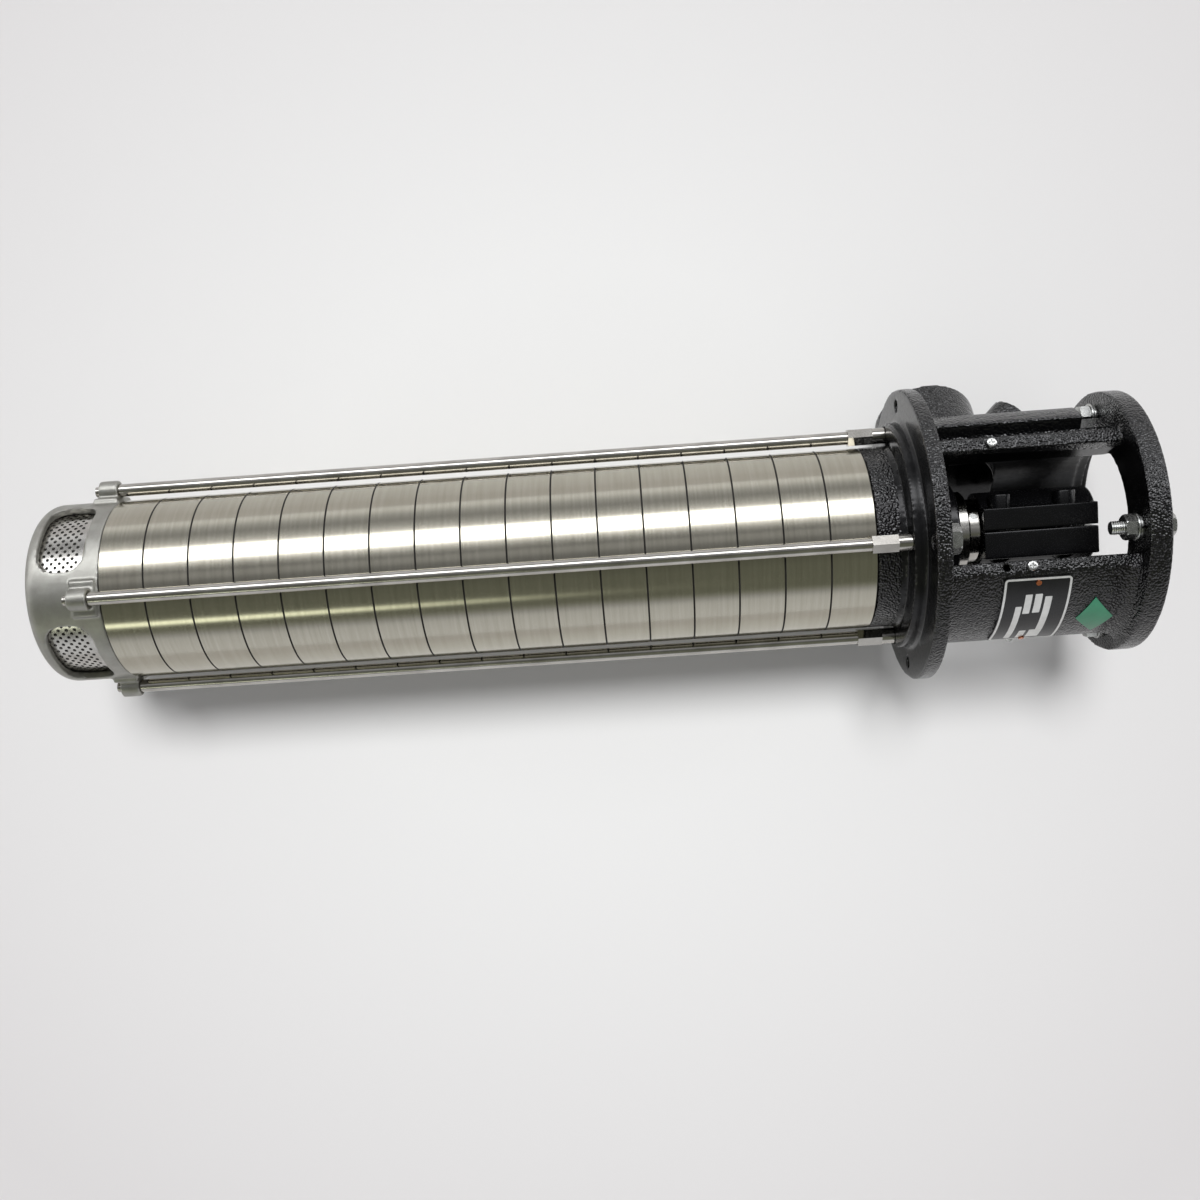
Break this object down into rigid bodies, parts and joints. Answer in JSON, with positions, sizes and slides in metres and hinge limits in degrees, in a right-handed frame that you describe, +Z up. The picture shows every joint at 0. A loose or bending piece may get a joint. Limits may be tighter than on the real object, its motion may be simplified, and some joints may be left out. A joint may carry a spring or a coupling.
{
  "type": "immersible multistage pump",
  "caption": "Immersible vertical multistage flushing water pump: stainless stages held by tie rods under a black cast head with side port, lantern, split coupling and motor flange.",
  "frame": {"origin": "centre of the mounting flange's underside, which seats on the tank top", "axes": "+Z up the shaft axis to the motor; -Y towards the front window as pictured; the discharge port points between -X and +Y"},
  "size_m": [0.184, 0.184, 0.6713],
  "materials": {
    "cast_black": "gloss black paint on cast iron",
    "chamber_steel": "pressed stainless sheet with a turned brushing",
    "cast_stainless": "matte cast stainless",
    "polished_steel": "ground bright stainless",
    "zinc_steel": "zinc plated steel",
    "black_steel": "smooth black coated steel",
    "bronze": "dull bronze",
    "copper": "copper rivets",
    "carbon": "hard carbon",
    "nameplate": "black plate with a bare silver border",
    "green_film": "green sticker film"
  },
  "bodies": {
    "pump": {"pump_head": "cast_black", "air_vent_plug": "bronze", "suction_strainer": "cast_stainless", "strainer_screen": "chamber_steel", "inlet_plate": "chamber_steel", "inlet_bearing_bush": "carbon", "stage_chambers": "chamber_steel", "tie_rod_1": "polished_steel", "tie_rod_2": "polished_steel", "tie_rod_3": "polished_steel", "tie_rod_4": "polished_steel", "tie_rod_washers": "zinc_steel", "tie_rod_nuts": "zinc_steel", "motor_bolts": "zinc_steel", "motor_washers": "zinc_steel", "motor_spring_washers": "zinc_steel", "motor_nuts": "zinc_steel", "seal_gland": "chamber_steel", "seal_stationary_ring": "carbon", "guard_screws": "zinc_steel", "nameplate": "nameplate", "nameplate_rivets": "copper", "inspection_label": "green_film"},
    "rotor": {"pump_shaft": "polished_steel", "impellers": "chamber_steel", "impeller_stop_ring": "polished_steel", "impeller_lock_nut": "zinc_steel", "seal_rotating_ring": "carbon", "seal_spring_housing": "chamber_steel", "seal_drive_collar": "polished_steel", "collar_set_screws": "zinc_steel", "coupling_half_a": "black_steel", "coupling_half_b": "black_steel", "coupling_screws": "zinc_steel", "coupling_pin": "zinc_steel"}
  },
  "joints": [
    {"name": "shaft_spin", "type": "hinge", "parent": "pump", "child": "rotor", "pos_m": [0, 0, 0.05], "axis": [0, 0, 1], "continuous": true}
  ]
}
